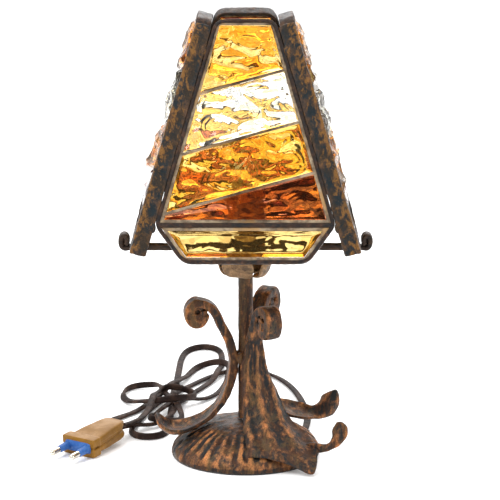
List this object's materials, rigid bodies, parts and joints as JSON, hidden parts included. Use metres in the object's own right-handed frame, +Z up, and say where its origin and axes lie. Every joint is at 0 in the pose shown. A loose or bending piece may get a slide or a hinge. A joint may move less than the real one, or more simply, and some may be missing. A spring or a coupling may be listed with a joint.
{
  "type": "table lamp",
  "caption": "Forged-iron table lamp: fluted dome base, scrolled stalks round a stem, and a loose four-sided lantern shade of thick coloured glass on a cross rod.",
  "frame": {"origin": "on the table under the middle of the base", "axes": "+Z up, -Y towards the front of the shade, +X to the right along the cross rod"},
  "size_m": [0.2474, 0.3903, 0.342],
  "materials": {
    "forged_iron": "hammered, dark patina rubbed with copper",
    "braze": "rough brazed lump",
    "felt": "felt",
    "zinc_steel": "zinc plated",
    "rod_iron": "forged, dark",
    "holder_metal": "bronzed",
    "porcelain": "glazed",
    "contact_brass": "satin",
    "bulb_glass": "clear",
    "bulb_stem": "clear",
    "tungsten": "wire",
    "frame_iron": "hammered, dark patina",
    "putty": "hard putty, matt",
    "post_iron": "hammered, mottled green and gold patina",
    "glass_amber": "thick, chipped",
    "glass_clear": "thick, chipped",
    "glass_mixed": "thick, chipped",
    "glass_red": "thick, chipped",
    "glass_skirt": "thick, slightly chipped",
    "flex": "flat twin flex, satin",
    "rubber_bush": "matt",
    "plug_tan": "moulded, satin",
    "plug_blue": "moulded",
    "pin_metal": "nickel plated"
  },
  "bodies": {
    "stand": {"base_dome": "forged_iron", "stalk_left": "forged_iron", "stalk_front": "forged_iron", "stalk_back": "forged_iron", "stem_tube": "forged_iron", "stalk_welds": "braze", "cup": "forged_iron", "base_pad": "felt", "base_washer": "zinc_steel", "base_nut": "zinc_steel", "threaded_tube": "zinc_steel", "cross_rod": "rod_iron", "holder_cap": "holder_metal", "holder_shell": "holder_metal", "holder_core": "porcelain", "screw_shell": "contact_brass", "centre_contact": "contact_brass", "inner_lead": "flex", "cord_lead": "flex", "cord_hank": "flex", "cord_bush": "rubber_bush", "plug_body": "plug_tan", "plug_insert": "plug_blue", "plug_pins": "pin_metal"},
    "shade": {"frame_front": "frame_iron", "frame_right": "frame_iron", "frame_back": "frame_iron", "frame_left": "frame_iron", "post_front_right": "post_iron", "post_back_right": "post_iron", "post_back_left": "post_iron", "post_front_left": "post_iron", "glass_front_amber": "glass_amber", "glass_front_clear": "glass_clear", "glass_front_mixed": "glass_mixed", "glass_front_red": "glass_red", "glass_front_skirt": "glass_skirt", "glass_right_amber": "glass_amber", "glass_right_clear": "glass_clear", "glass_right_mixed": "glass_mixed", "glass_right_red": "glass_red", "glass_right_skirt": "glass_skirt", "glass_back_amber": "glass_amber", "glass_back_clear": "glass_clear", "glass_back_mixed": "glass_mixed", "glass_back_red": "glass_red", "glass_back_skirt": "glass_skirt", "glass_left_amber": "glass_amber", "glass_left_clear": "glass_clear", "glass_left_mixed": "glass_mixed", "glass_left_red": "glass_red", "glass_left_skirt": "glass_skirt", "putty_front": "putty", "putty_right": "putty", "putty_back": "putty", "putty_left": "putty"},
    "bulb": {"bulb_glass": "bulb_glass", "bulb_cap": "contact_brass", "bulb_mount": "bulb_stem", "bulb_filament": "tungsten"}
  },
  "joints": [
    {"name": "shade_lift", "type": "slide", "parent": "stand", "child": "shade", "axis": [0, 0, 1], "range_m": [0, 0.13]},
    {"name": "bulb_out", "type": "slide", "parent": "stand", "child": "bulb", "axis": [0, 0, 1], "range_m": [0, 0.03]}
  ]
}
